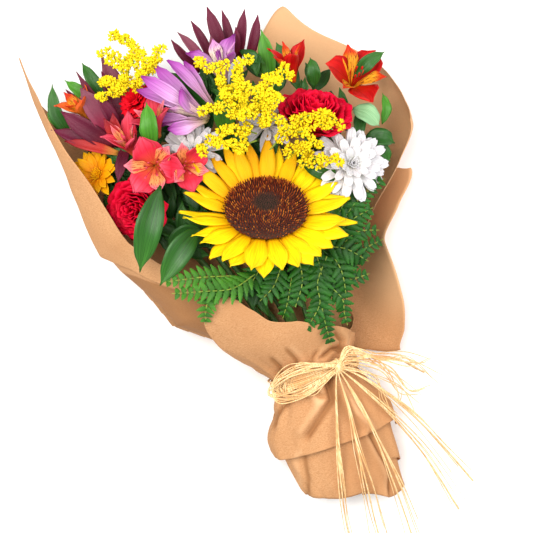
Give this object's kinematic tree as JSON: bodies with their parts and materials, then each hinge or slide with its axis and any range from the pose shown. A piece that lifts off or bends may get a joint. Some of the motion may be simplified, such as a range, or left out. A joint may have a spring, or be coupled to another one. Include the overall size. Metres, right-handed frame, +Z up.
{
  "type": "mixed flower bouquet",
  "caption": "Hand-tied bunch of mixed cut flowers and greenery in a brown kraft paper wrap, tied at the stems with raffia and lying on its back.",
  "frame": {"origin": "centre of the bouquet's footprint on the surface it lies on, without the loose raffia ends", "axes": "+Y along the bouquet from the cut stems to the flowers, +Z up out of the face of the bouquet, +X to the right as seen from above with the flowers away"},
  "size_m": [0.321, 0.5725, 0.1804],
  "materials": {
    "kraft_paper": "matte",
    "raffia": "matte",
    "green_stem": "satin",
    "green_leaf": "satin",
    "fern_frond": "satin",
    "sunflower_disc": "matte",
    "sunflower_petals": "matte",
    "goldenrod": "matte",
    "rose_petals": "matte",
    "carnation_petals": "matte",
    "white_petals": "matte",
    "pink_alstroemeria": "satin",
    "red_alstroemeria": "satin",
    "lilac_alstroemeria": "satin",
    "leucadendron": "satin"
  },
  "bodies": {
    "root": {"carnation": "carnation_petals", "carnation_stem": "green_stem", "chrysanthemum_centre": "white_petals", "chrysanthemum_left": "white_petals", "chrysanthemum_left_stem": "green_stem", "chrysanthemum_right": "white_petals", "chrysanthemum_right_stem": "green_stem", "fern_front": "fern_frond", "fern_left": "fern_frond", "fern_right": "fern_frond", "fern_right_low": "fern_frond", "front_paper_wrap": "kraft_paper", "goldenrod_centre": "goldenrod", "goldenrod_left": "goldenrod", "goldenrod_right": "goldenrod", "inner_paper_sheet": "kraft_paper", "leaf_front_centre": "green_leaf", "leaf_front_left": "green_leaf", "leaf_left": "green_leaf", "leaf_right_lower": "green_leaf", "leaf_right_upper": "green_leaf", "leaf_top": "green_leaf", "leucadendron_left": "leucadendron", "leucadendron_left_stem": "green_stem", "leucadendron_top": "leucadendron", "leucadendron_top_stem": "green_stem", "lilac_alstroemeria_stem": "green_stem", "lilac_trumpet_left": "lilac_alstroemeria", "lilac_trumpet_right": "lilac_alstroemeria", "middle_paper_sheet": "kraft_paper", "orange_alstroemeria_stem": "green_stem", "orange_floret": "red_alstroemeria", "outer_paper_sheet": "kraft_paper", "pink_alstroemeria_stem": "green_stem", "pink_floret_open_left": "pink_alstroemeria", "pink_floret_open_right": "pink_alstroemeria", "pink_trumpet_left": "pink_alstroemeria", "pink_trumpet_right": "pink_alstroemeria", "raffia_band": "raffia", "raffia_bow": "raffia", "raffia_knot": "raffia", "raffia_short_end": "raffia", "raffia_tail_1": "raffia", "raffia_tail_2": "raffia", "raffia_tail_3": "raffia", "raffia_tail_4": "raffia", "raffia_tail_5": "raffia", "red_alstroemeria_stem": "green_stem", "red_floret_closed": "red_alstroemeria", "red_floret_open": "red_alstroemeria", "rose_left": "rose_petals", "rose_left_stem": "green_stem", "rose_right": "rose_petals", "rose_right_stem": "green_stem", "sunflower_disc": "sunflower_disc", "sunflower_petals": "sunflower_petals", "sunflower_stem": "green_stem", "yellow_flower": "sunflower_petals", "yellow_flower_stem": "green_stem"}
  },
  "joints": []
}
